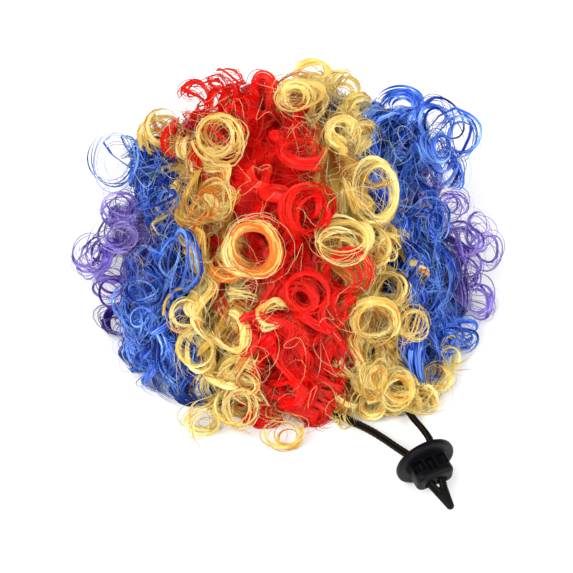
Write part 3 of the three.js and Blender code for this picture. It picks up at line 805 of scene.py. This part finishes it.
def add_strands(lock, made, width, thickness, tip, mix):
    """Strands along the made paths, drawn out at their tips, each of its own shade."""
    paths, flat_way, which = made
    count, steps = paths.shape[:2]
    size = tapered(count, steps, 0.1, tip) * rng.uniform(0.75, 1.2, (count, 1))
    tone = lock["tone"][which] + rng.normal(0, mix, count)
    shade = np.clip(np.round(FIRST_SHADE + tone * (LAST_SHADE - FIRST_SHADE)), FIRST_SHADE, LAST_SHADE)
    # Yellow strands near the red stripe take the column of painted red light.
    shade[painted_red_bleed(lock["stripe"][which], paths, lock["tone"][which])] = RED_BLEED_SHADE
    file_strands(lock, which, paths, flat_way, width * size, thickness * size, shade)


def add_loose(lock, made):
    """Single loose fibres along the made paths."""
    paths, flat_way, which = made
    count, steps = paths.shape[:2]
    size = LOOSE_WIDTH * tapered(count, steps, 0.1, 0.1)
    file_strands(lock, which, paths, flat_way, size, size, np.full(count, float(LOOSE_SHADE)))


def in_sheet(lock, spacing):
    """How many strands lie side by side in each lock."""
    return np.maximum(np.round(lock["sheet"] / spacing), 1).astype(int)


def parted(lock, parts, spread):
    """Each lock split into smaller ones that keep near to it."""
    made, which = repeated(lock, parts)
    count = len(which)
    for name, share in (("radius", 0.12), ("turns", 0.08)):
        made[name] = made[name] * (1 + rng.normal(0, share, count))
    for name, reach in (("begin", 0.2), ("tilt", 0.25), ("tone", 0.07)):
        made[name] = made[name] + rng.normal(0, reach, count)
    made["sheet"] = made["sheet"] / parts * rng.uniform(0.9, 1.7, count)
    if "centre" in made:
        made["centre"] = made["centre"] + rng.normal(0, spread, (count, 3))
        made["rise"] = made["rise"] + rng.normal(0, 1, count)
        made["tail"] = made["tail"] + rng.normal(0, 2, (count, 3))
    else:
        apart = rng.normal(0, spread / (CAP_RADIUS + HAIR_DEPTH), (count, 3))
        made["outward"] = unit(made["outward"] + apart)
        made["length"] = made["length"] * rng.uniform(0.85, 1.1, count)
    return made


# Each lock is parted into smaller ones. Each of those is a sheet of flat strands that overlap, with thin ones
# on it.
STRAND_THICKNESS, LOW_THICKNESS = 0.2, 0.3
RING_TIP, TIP = 0.2, 0.25
# Steps along a strand, on a ring's stem and round it, or in all.
MARKED_STEPS, RING_STEPS = (4, 25), (3, 18)
WAVE_STEPS, LOW_WAVE_STEPS = 19, 12
LAYERS = [
    # spacing, loose, frizz, width, mix
    (1.1, 0, 0.2, LOCK_WIDTH, 0.09),
    (1.4, 0.3, 0.5, 0.4, 0.2),
]
fine_marked, fine_rings = parted(marked, 3, 1.2), parted(rings, 2, 1.5)
fine_spirals, fine_waved = parted(spirals, 2, 1.5), parted(waved, 2, 2.0)
for spacing, loose, frizz, width, mix in LAYERS:
    for lock, steps, tip in ((fine_marked, MARKED_STEPS, RING_TIP), (fine_rings, RING_STEPS, TIP)):
        made = ring_paths(lock, in_sheet(lock, spacing), loose, frizz, *steps)
        add_strands(lock, made, width, STRAND_THICKNESS, tip, mix)
    for lock in (fine_spirals, fine_waved):
        made = spiral_paths(lock, in_sheet(lock, spacing), loose, frizz, WAVE_STEPS)
        add_strands(lock, made, width, STRAND_THICKNESS, TIP, mix)
made = spiral_paths(low_waves, 4, 0, 0.4, LOW_WAVE_STEPS)
add_strands(low_waves, made, 1.4 * LOCK_WIDTH, LOW_THICKNESS, TIP, 0.08)

# Loose fibres beside the locks, and frizz in wide arcs over them. Real ones are 0.06 mm, drawn wider to show.
LOOSE_WIDTH = 0.1
FRIZZ_FIBRES, STRAYED_FIBRES = 560, 120
add_loose(marked, ring_paths(marked, 3, 0.7, 0.5, 3, 22))
add_loose(rings, ring_paths(rings, 2, 0.8, 0.6, 2, 16))
add_loose(spirals, spiral_paths(spirals, 2, 0.8, 0.6, 18))
add_loose(waved, spiral_paths(waved, 2, 0.8, 0.6, 16))


def add_frizz(outward, stripe, low, high, most_turns):
    """Single fibres in wide arcs, between two depths over the cap."""
    count = len(outward)
    fibre = filling_rings(outward)
    fibre.update(
        stripe=stripe, centre=over_cap(outward, rng.uniform(low, high, count)),
        radius=rng.uniform(2.5, 8, count), turns=rng.uniform(0.4, most_turns, count),
    )
    add_loose(fibre, ring_paths(fibre, 1, 1, 0.8, 2, 12))


loose_out = scattered(FRIZZ_FIBRES, 0.05, 0.04)
add_frizz(loose_out, stripe_at(loose_out, 4), 12, 22, 1.2)
# Yellow fibres that have strayed over the stripes beside the yellow ones, made pale by the loose fibres'
# painted highlight.
edge = rng.choice([-36, -22, -14, 8, 26], STRAYED_FIBRES)
strayed_out = from_angles(edge + rng.normal(0, 9, len(edge)), rng.uniform(2, 150, len(edge)))
add_frizz(strayed_out, np.where(edge < 0, YELLOW_LEFT, YELLOW_RIGHT), 19, 22.5, 1.1)


# The dense short hair: its depths over the cap in millimetres, its steps along a stripe, and the width of a
# strip and the last place out from the middle, in degrees.
UNDER_FOOT, UNDER_TOP, UNDER_WAVE = 1.2, 7.5, 0.9
UNDER_STEPS, UNDER_STRIP = 64, 2.2
UNDER_LAST_OUT = 86


def under_hair(low_out, high_out, shade):
    """The dense short hair next to the cap, as one closed slab with combed waves in its top."""
    across = max(6, int((high_out - low_out) / UNDER_STRIP))
    out = np.linspace(max(low_out, -UNDER_LAST_OUT), min(high_out, UNDER_LAST_OUT), across + 1)[:, None]
    along = np.linspace(-6, 186, UNDER_STEPS + 1)[None]
    wave = np.sin(np.radians(along * 17 + 90 * np.sin(out * 0.4)))
    wave = wave + 0.7 * np.sin(np.radians(out * 47 + along * 5))
    outward = from_angles(*np.broadcast_arrays(out, along))
    foot = over_cap(outward, np.full(wave.shape, UNDER_FOOT))
    top = over_cap(outward, UNDER_TOP + UNDER_WAVE * wave)
    corners = on_floor(np.stack([foot, top])).reshape(-1, 3)
    index = np.arange(len(corners)).reshape(2, across + 1, UNDER_STEPS + 1)
    below, above = index
    walls = []
    for grid in (above, below[::-1], index[:, :, 0], index[::-1, :, -1], index[::-1, 0], index[:, -1]):
        square = [grid[:-1, :-1], grid[1:, :-1], grid[1:, 1:], grid[:-1, 1:]]
        walls.append(np.stack(square, -1).reshape(-1, 4))
    arc = np.radians(np.broadcast_to(out, wave.shape)) * (CAP_RADIUS + 9.5)
    column = (shade + 0.5 + 0.42 * np.sin(arc * np.pi / LOCK_WIDTH)) / SHADES
    length = 0.5 + 0.45 * np.sin(np.radians(along * 3) + np.zeros_like(out))
    places = np.tile(np.stack([column, length], -1).reshape(-1, 2), (2, 1))
    return corners, places, walls


def smooth_route(points, spacing):
    """Evenly spaced points on one smooth curve through a cord's route."""
    points = np.asarray(points, float)
    points = np.concatenate([[2 * points[0] - points[1]], points, [2 * points[-1] - points[-2]]])
    knots = np.sqrt(np.linalg.norm(np.diff(points, axis=0), axis=1))[:, None]
    curve = []
    for i in range(1, len(points) - 2):
        before, here, ahead, after = points[i - 1:i + 3]
        gap_before, gap, gap_after = knots[i - 1:i + 2]
        leave = (here - before) / gap_before - (ahead - before) / (gap_before + gap) + (ahead - here) / gap
        arrive = (ahead - here) / gap - (after - here) / (gap + gap_after) + (after - ahead) / gap_after
        t = np.linspace(0, 1, 40, endpoint=False)[:, None]
        curve.append(
            (2 * t ** 3 - 3 * t ** 2 + 1) * here + (t ** 3 - 2 * t ** 2 + t) * leave * gap
            + (3 * t ** 2 - 2 * t ** 3) * ahead + (t ** 3 - t ** 2) * arrive * gap
        )
    curve = np.concatenate(curve + [points[-2:-1]])
    reach = np.concatenate([[0], np.cumsum(np.linalg.norm(np.diff(curve, axis=0), axis=1))])
    count = int(round(reach[-1] / spacing)) + 1
    even = np.linspace(0, reach[-1], count)
    return np.stack([np.interp(even, reach, curve[:, k]) for k in range(3)], -1), reach[-1]


def no_twist_frames(path):
    """Two directions across a path that turn with it and don't twist."""
    ahead = unit(np.gradient(path, axis=0))
    side = [unit(np.cross(ahead[0], [0, 0, 1.0]))]
    for way in ahead[1:]:
        side.append(unit(side[-1] - (side[-1] @ way) * way))
    side = np.array(side)
    return side, np.cross(ahead, side)


def wound_on_cord(points, first, last, strands, turns):
    """Thin fibres wound round a stretch of a cord's route."""
    route = smooth_route(points, CORD_STEP)[0]
    path = route[(route[:, 1] < first) & (route[:, 1] > last)]
    across, over = no_twist_frames(path)
    run = np.linspace(0, 1, len(path))
    begin = rng.uniform(0, 2 * np.pi, (strands, 1))
    angle = begin + 2 * np.pi * turns * rng.uniform(0.4, 1.2, (strands, 1)) * run
    away = np.cos(angle)[..., None] * across + np.sin(angle)[..., None] * over
    paths = path + away * (CORD_RADIUS + rng.uniform(0.1, 0.4, (strands, 1, 1)))
    size = tapered(strands, len(path), 0.1, 0.1)
    shade = np.full(strands, float(CORD_HAIR_SHADE))
    return lay_strands(paths, np.cross(away, np.gradient(path, axis=0)), 0.3 * size, 0.2 * size, shade)


hair[YELLOW_RIGHT].append(wound_on_cord(CORD_ROUTES["elastic_cord_left"][2], -62, -80, 9, 3))
for i, (name, node, slot, low_out, high_out) in enumerate(STRIPES):
    hair[i].append(under_hair(low_out, high_out, UNDER_PAINTED_SHADES[slot]))
    join_piece(name, node, hair[i], hair_finish[slot])


def ring_walls(rings, sides):
    """Faces round a stack of rings, with the two ends closed."""
    index = np.arange(rings * sides).reshape(rings, sides)
    around = np.roll(index, -1, axis=1)
    walls = np.stack([index[:-1], around[:-1], around[1:], index[1:]], axis=2).reshape(-1, 4)
    return [walls, np.stack([index[0, ::-1], index[-1]])]


BRAID_YARNS = 6
BRAID_PITCH = 1.9
BRAID_RELIEF = 0.09
RIDGES = 2
YARN_FUZZ = 0.4
CORD_SIDES = 24
CORD_MAP_LENGTH = 165


def braided_elastic():
    # Polyester yarn braided over a rubber core: dull dark threads that cross in a fine herringbone, each with
    # a faint dry shine. The yarns are 0.7 mm apart.
    material, tree, shader = start_material("braided_polyester_elastic")
    place = add_node(tree, "UVMap", {"uv_map": HAIR_MAP}, {})
    ways = []
    for around, along in ((BRAID_YARNS, 1 / BRAID_PITCH), (BRAID_YARNS, -1 / BRAID_PITCH), (RIDGES, 0.0)):
        scale = (around, along * CORD_MAP_LENGTH, 1.0)
        turned = add_node(tree, "Mapping", {}, {"Vector": place, "Scale": scale})
        parts = add_node(tree, "SeparateXYZ", {}, {0: turned})
        total = add_node(tree, "Math", {"operation": "ADD"}, {0: parts.outputs["X"], 1: parts.outputs["Y"]})
        ways.append(add_node(tree, "Math", {"operation": "PINGPONG"}, {0: total, 1: 0.5}))
    yarn = add_node(tree, "Math", {"operation": "MAXIMUM"}, {0: ways[0], 1: ways[1]})
    fuzz = add_node(tree, "TexNoise", {}, {"Scale": 1 / (YARN_FUZZ * MM), "Detail": 2.0})
    mixed = add_node(tree, "Math", {"operation": "MULTIPLY"}, {0: yarn, 1: fuzz})
    mixed = add_node(tree, "Math", {"operation": "ADD"}, {0: mixed, 1: ways[2]})
    stops = [(0.2, "#040303"), (0.5, "#0E0B09"), (0.72, "#342B23")]
    colour = add_node(tree, "ValToRGB", {"stops": stops}, {0: mixed})
    relief = add_node(tree, "Bump", {}, {"Strength": 0.5, "Distance": 0.15 * MM, "Height": yarn})
    set_inputs(tree, shader, {
        "Base Color": colour, "Normal": relief, "Roughness": 0.7, "Specular IOR Level": 0.12,
    })
    return material


elastic = braided_elastic()
cords = []
for name, (node, side, points) in CORD_ROUTES.items():
    bore_x = side * BORE_SPACING / 2
    through = from_stopper([
        (bore_x, -BORE_DROP, CORD_IN), (bore_x, -BORE_DROP, CORD_OUT / 2), (bore_x, -BORE_DROP, CORD_OUT),
        (side * CORD_RADIUS * 0.75 + 0.2, -BORE_DROP - 0.9, CORD_OUT + CORD_PAST),
    ])
    route = np.concatenate([points, through])
    path, length = smooth_route(route, CORD_STEP)
    across, over = no_twist_frames(path)
    turn = round_turn(CORD_SIDES)
    run = np.arange(len(path))[:, None] * CORD_STEP / BRAID_PITCH * 2 * np.pi
    braid = np.maximum(np.cos(BRAID_YARNS * turn + run), np.cos(BRAID_YARNS * turn - run))
    braid = braid + 1.5 * np.cos(2 * RIDGES * turn)
    size = (CORD_RADIUS + BRAID_RELIEF * (braid - 0.5))[..., None]
    away = np.cos(turn)[:, None] * across[:, None] + np.sin(turn)[:, None] * over[:, None]
    corners = path[:, None] + size * away
    corners[..., 2] = np.maximum(corners[..., 2], FLOOR_GAP)
    reach = np.arange(len(path))[:, None] * CORD_STEP / CORD_MAP_LENGTH
    map_place = on_grid(there_and_back(CORD_SIDES), reach)
    shape = (corners.reshape(-1, 3), map_place.reshape(-1, 2), ring_walls(len(path), CORD_SIDES))
    cords.append((join_piece(name, node, [shape], elastic), route, length))


MELT_LUMP = 0.8


def melted_end():
    # Braid ends melted together with a hot iron: black, uneven and half glossy.
    material, tree, shader = start_material("melted_polyester_end")
    lumps = add_node(tree, "TexNoise", {}, {"Scale": 1 / (MELT_LUMP * MM), "Detail": 3.0})
    colour = add_node(tree, "ValToRGB", {"stops": [(0.3, "#060607"), (0.7, "#131212")]}, {0: lumps})
    gloss = add_node(tree, "MapRange", {}, {"Value": lumps, "To Min": 0.35, "To Max": 0.65})
    relief = add_node(tree, "Bump", {}, {"Strength": 0.5, "Distance": 0.2 * MM, "Height": lumps})
    set_inputs(tree, shader, {
        "Base Color": colour, "Roughness": gloss, "Normal": relief, "Specular IOR Level": 0.14,
    })
    return material


# The two cord ends run together into one long taper.
MERGE_AT = np.array([0.1, -1.7, 11.3])
TIP_END = np.array([0.9, -3.84, 20.2])
TIP_RADIUS = 1.5
TIP_SPREAD = 1.7
TIP_LENGTH = np.linalg.norm(TIP_END - MERGE_AT)
reach = np.concatenate([
    np.linspace(0, TIP_LENGTH - TIP_RADIUS, 14, endpoint=False),
    TIP_LENGTH - TIP_RADIUS + TIP_RADIUS * np.sin(np.linspace(0, np.pi / 2, 9)),
])[:, None]
dome = np.sqrt(np.clip(1 - np.clip((reach - TIP_LENGTH + TIP_RADIUS) / TIP_RADIUS, 0, 0.999) ** 2, 0, 1))
apart = np.clip(1 - reach / (TIP_LENGTH - TIP_RADIUS), 0, 1)
turn = round_turn(CORD_SIDES)
waist = 1 - 0.45 * apart ** 2 * np.sin(turn) ** 6
tip_rings = on_grid(
    (TIP_RADIUS + TIP_SPREAD * apart) * dome * np.cos(turn), TIP_RADIUS * dome * np.sin(turn) * waist, reach
)
tip_way = (TIP_END - MERGE_AT) / TIP_LENGTH
tip_side = unit(np.cross((0, 1, 0), tip_way))
tip_frame = np.stack([tip_side, np.cross(tip_way, tip_side), tip_way])
tip_corners = from_stopper(tip_rings.reshape(-1, 3) @ tip_frame + MERGE_AT)
tip_places = on_grid(there_and_back(CORD_SIDES), reach / TIP_LENGTH)
tip_shape = (tip_corners, tip_places.reshape(-1, 2), ring_walls(len(reach), CORD_SIDES))
tip = join_piece("melted_tip", "cord_tip", [tip_shape], melted_end())


MOULD_GRAIN, MOULD_CLOUD = 0.35, 6


def satin_moulding():
    # Injection-moulded nylon from a spark-eroded tool: near black, satin, with a fine even grain that breaks
    # up the highlights. The grain is 0.15 mm, drawn 0.35 mm to show.
    material, tree, shader = start_material("moulded_black_nylon")
    grain = add_node(tree, "TexNoise", {}, {"Scale": 1 / (MOULD_GRAIN * MM), "Detail": 1.0})
    cloud = add_node(tree, "TexNoise", {}, {"Scale": 1 / (MOULD_CLOUD * MM), "Detail": 2.0})
    colour = add_node(tree, "ValToRGB", {"stops": [(0.3, "#08080B"), (0.75, "#111115")]}, {0: cloud})
    gloss = add_node(tree, "MapRange", {}, {"Value": cloud, "To Min": 0.38, "To Max": 0.56})
    relief = add_node(tree, "Bump", {}, {"Strength": 0.25, "Distance": 0.05 * MM, "Height": grain})
    set_inputs(tree, shader, {
        "Base Color": colour, "Roughness": gloss, "Normal": relief, "IOR": 1.53, "Specular IOR Level": 0.14,
    })
    return material


FLANGE_RADIUS = 11.5
FLANGE_HALF = 1.4
FLANGE_EDGE = 1.1
FLANGE_DISH = 0.7
FLANGE_DISH_RADIUS = 9.4
FLANGE_SIDES = 72
BODY_WIDTH, BODY_HEIGHT, BODY_CORNER, BODY_EDGE = 14.8, 8.6, 2.8, 1.8
BORE_RADIUS = 1.85
BORE_SIDES = 32
EDGE_ROUND = 0.55
BORE_RINGS = [
    # flare, z
    (0.9, -2.0),
    (0.0, -0.8),
    (0.0, 8.6),
    (0.7, 9.6),
]
POCKET_DEPTH, POCKET_RIB, POCKET_CORNER = 3.0, 1.0, 1.2
POCKETS = [
    # width, length
    (4.3, 4.4),
    (3.1, 5.2),
    (4.3, 4.4),
]


def stacked(name, rings):
    """A closed solid through a stack of rings in the stopper's frame, as an object in the wig's frame."""
    corners = from_stopper(np.concatenate(rings)) * MM
    mesh = bpy.data.meshes.new(name)
    faces = [face.tolist() for group in ring_walls(len(rings), len(rings[0])) for face in group]
    mesh.from_pydata(corners.tolist(), [], faces)
    return add_object(name, mesh)


def round_ring(radius, z, x=0.0, y=0.0, sides=FLANGE_SIDES):
    turn = round_turn(sides)
    return np.stack([x + radius * np.cos(turn), y + radius * np.sin(turn), np.full(sides, z)], -1)


def cornered_ring(width, height, corner, z, x=0.0, y=0.0):
    """A rectangle with round corners."""
    turn = np.linspace(0, np.pi / 2, 9)
    ring = []
    for quarter, (sx, sy) in enumerate([(1, 1), (-1, 1), (-1, -1), (1, -1)]):
        angle = turn + quarter * np.pi / 2
        ring.append(np.stack([
            x + sx * (width / 2 - corner) + corner * np.cos(angle),
            y + sy * (height / 2 - corner) + corner * np.sin(angle), np.full(len(turn), z),
        ], -1))
    return np.concatenate(ring)


def flange():
    """The round flange, with a rolled edge and a shallow dish round the body."""
    bend = np.linspace(0, np.pi / 2, 7)
    flat = FLANGE_RADIUS - FLANGE_EDGE
    side = FLANGE_HALF - FLANGE_EDGE
    rings = [round_ring(flat * part, -FLANGE_HALF) for part in (0.02, 0.5)]
    rings += [round_ring(flat + FLANGE_EDGE * math.sin(a), -side - FLANGE_EDGE * math.cos(a)) for a in bend]
    rings += [round_ring(flat + FLANGE_EDGE * math.cos(a), side + FLANGE_EDGE * math.sin(a)) for a in bend]
    for part in (1.0, 0.8, 0.6, 0.4, 0.2, 0.02):
        rings.append(round_ring(FLANGE_DISH_RADIUS * part, FLANGE_HALF - FLANGE_DISH * (1 - part ** 2)))
    return stacked("flange", rings)


def body():
    """The block on the flange, with round corners and a rounded end."""
    bend = np.linspace(0, np.pi / 2, 7)
    rings = [cornered_ring(BODY_WIDTH, BODY_HEIGHT, BODY_CORNER, z) for z in (0.2, 3, 6)]
    for a in bend:
        inset = BODY_EDGE * (1 - math.cos(a))
        width, height = BODY_WIDTH - 2 * inset, BODY_HEIGHT - 2 * inset
        z = CORD_OUT - BODY_EDGE * (1 - math.sin(a))
        rings.append(cornered_ring(width, height, BODY_CORNER - inset, z))
    return stacked("body", rings)


def pockets():
    """The row of pockets moulded into the top of the body."""
    made = []
    left = -(sum(width for width, _ in POCKETS) + 2 * POCKET_RIB) / 2
    y = BODY_HEIGHT / 2 - POCKET_DEPTH / 2 + 1
    for width, length in POCKETS:
        ends = (FLANGE_HALF - 0.2, FLANGE_HALF + length)
        x = left + width / 2
        made.append(stacked("pocket", [
            cornered_ring(width, POCKET_DEPTH + 2, POCKET_CORNER, z, x, y) for z in ends
        ]))
        left += width + POCKET_RIB
    return made


def bores():
    """The two holes for the cord, flared at their ends."""
    made = []
    for side in (-1, 1):
        x = side * BORE_SPACING / 2
        made.append(stacked("bore", [
            round_ring(BORE_RADIUS + flare, z, x, -BORE_DROP, BORE_SIDES) for flare, z in BORE_RINGS
        ]))
    return made


stopper = flange()
cutters = [("UNION", body())] + [("DIFFERENCE", tool) for tool in pockets() + bores()]
for act, tool in cutters:
    cut = stopper.modifiers.new("cut", "BOOLEAN")
    cut.operation = act
    cut.object = tool
    cut.solver = "EXACT"
soft_edge = stopper.modifiers.new("soft_edge", "BEVEL")
soft_edge.width = EDGE_ROUND * MM
soft_edge.segments = 3
soft_edge.limit_method = "ANGLE"
soft_edge.angle_limit = math.radians(40)
bpy.context.view_layer.update()
finished = bpy.data.meshes.new_from_object(stopper.evaluated_get(bpy.context.evaluated_depsgraph_get()))
for solid in [stopper] + [tool for _, tool in cutters]:
    bpy.data.objects.remove(solid)
for face in finished.polygons:
    face.use_smooth = True
finished.set_sharp_from_angle(angle=math.radians(35))
finished.materials.clear()
finished.materials.append(satin_moulding())
stopper = stand_for(add_object("toggle_stopper", finished), "cord_stopper")

for (cord, route, length), on_it in zip(cords, ([stopper, tip], [tip])):
    smooth_route(route, length / (CORD_POINTS - 1))[0] * MM


CAP_PROFILE_LENGTH = 190
CAP_SIDES = 96
LOOP_WIDTH, LOOP_HEIGHT = 1.4, 1.1


def knitted_net():
    # Nylon net, warp-knitted and heat-set: dull black with columns of small loops, 1.4 mm wide.
    material, tree, shader = start_material("knitted_nylon_net")
    place = add_node(tree, "UVMap", {"uv_map": HAIR_MAP}, {})
    scale = (2 * math.pi * CAP_RADIUS / LOOP_WIDTH, CAP_PROFILE_LENGTH / LOOP_HEIGHT, 1.0)
    loops_at = add_node(tree, "Mapping", {}, {"Vector": place, "Scale": scale})
    parts = add_node(tree, "SeparateXYZ", {}, {0: loops_at})
    leg = add_node(tree, "Math", {"operation": "PINGPONG"}, {0: parts.outputs["X"], 1: 0.5})
    slant = add_node(tree, "Math", {"operation": "ADD"}, {0: parts.outputs["Y"], 1: leg})
    row = add_node(tree, "Math", {"operation": "PINGPONG"}, {0: slant, 1: 0.5})
    loop = add_node(tree, "Math", {"operation": "MULTIPLY"}, {0: row, 1: leg})
    colour = add_node(tree, "ValToRGB", {"stops": [(0.0, "#0A0A0C"), (0.25, "#2C2C32")]}, {0: loop})
    relief = add_node(tree, "Bump", {}, {"Strength": 0.8, "Distance": 0.4 * MM, "Height": loop})
    set_inputs(tree, shader, {"Base Color": colour, "Normal": relief, "Roughness": 0.85, "Sheen Weight": 0.2})
    return material


def knitted_cap():
    """The cap as a turned shell, from the hem's inside round its edge, over the crown and down inside."""
    rise = np.linspace(0, np.pi / 2, 26)[:-1]
    outside = [(CAP_RADIUS * math.cos(a), RIM_HEIGHT + CAP_RISE * math.sin(a)) for a in rise]
    radius, height = CAP_RADIUS - CAP_WALL, CAP_RISE - CAP_WALL
    inside = [(radius * math.cos(a), RIM_HEIGHT + height * math.sin(a)) for a in rise[::-1]]
    hem = CAP_RADIUS - HEM_WALL
    foot = [(hem, 0.8), (hem + 0.5, 0.3), (CAP_RADIUS - 0.5, 0.3), (CAP_RADIUS, 0.8)]
    crown = [(0.4, RIM_HEIGHT + CAP_RISE), (0.4, RIM_HEIGHT + height)]
    fold = [(hem + 0.3, HEM_HEIGHT - 0.6), (hem, HEM_HEIGHT - 1.2)]
    profile = np.array(foot + outside + crown + inside + fold)
    lengths = np.concatenate([[0], np.cumsum(np.linalg.norm(np.diff(profile, axis=0), axis=1))])
    turn = round_turn(CAP_SIDES)
    corners = on_grid(profile[:, :1] * np.cos(turn), profile[:, :1] * np.sin(turn), profile[:, 1:])
    index = np.arange(len(profile) * CAP_SIDES).reshape(len(profile), CAP_SIDES)
    around, above = np.roll(index, -1, axis=1), np.roll(index, -1, axis=0)
    walls = np.stack([index, around, np.roll(around, -1, axis=0), above], -1).reshape(-1, 4)
    places = on_grid(there_and_back(CAP_SIDES), (lengths / CAP_PROFILE_LENGTH)[:, None])
    shape = (corners.reshape(-1, 3), places.reshape(-1, 2), [walls])
    return join_piece("knitted_cap", "cap", [shape], knitted_net())


knitted_cap()


# A plain white paper floor, lit softly from all round.
PAPER_MOTTLE = 40
FLOOR_REACH = 3


def paper_white():
    # Matt coated paper: an even white with the faintest mottle.
    material, tree, shader = start_material("matt_white_paper")
    mottle = add_node(tree, "TexNoise", {}, {"Scale": 1 / (PAPER_MOTTLE * MM), "Detail": 2.0})
    colour = add_node(tree, "ValToRGB", {"stops": [(0.0, "#F6F6F6"), (1.0, "#FAFAFA")]}, {0: mottle})
    set_inputs(tree, shader, {"Base Color": colour, "Roughness": 0.9, "Specular IOR Level": 0.1})
    return material


floor_mesh = bpy.data.meshes.new("paper_floor")
floor_corners = [(x * FLOOR_REACH, y * FLOOR_REACH, 0) for x, y in ((-1, -1), (1, -1), (1, 1), (-1, 1))]
floor_mesh.from_pydata(floor_corners, [], [(0, 1, 2, 3)])
floor_mesh.materials.append(paper_white())
floor = add_object("paper_floor", floor_mesh)

world = bpy.data.worlds.new("studio")
bpy.context.scene.world = world
world.use_nodes = True
set_inputs(world.node_tree, world.node_tree.nodes["Background"], {"Color": (1, 1, 1, 1), "Strength": 0.9})
world.cycles_visibility.glossy = False

for name, place, size, power in [
    # name, place, size, power, in metres and watts
    ("softbox_left", (-0.45, -0.35, 0.75), 0.5, 6.2),
    ("softbox_right", (0.6, -0.5, 0.5), 0.6, 4),
]:
    light = bpy.data.lights.new(name, "AREA")
    light.size = size
    light.energy = power
    lamp = add_object(name, light)
    lamp.location = place
    lamp.rotation_euler = Vector(place).to_track_quat("Z", "Y").to_euler()

bpy.context.scene.view_settings.view_transform = "Standard"
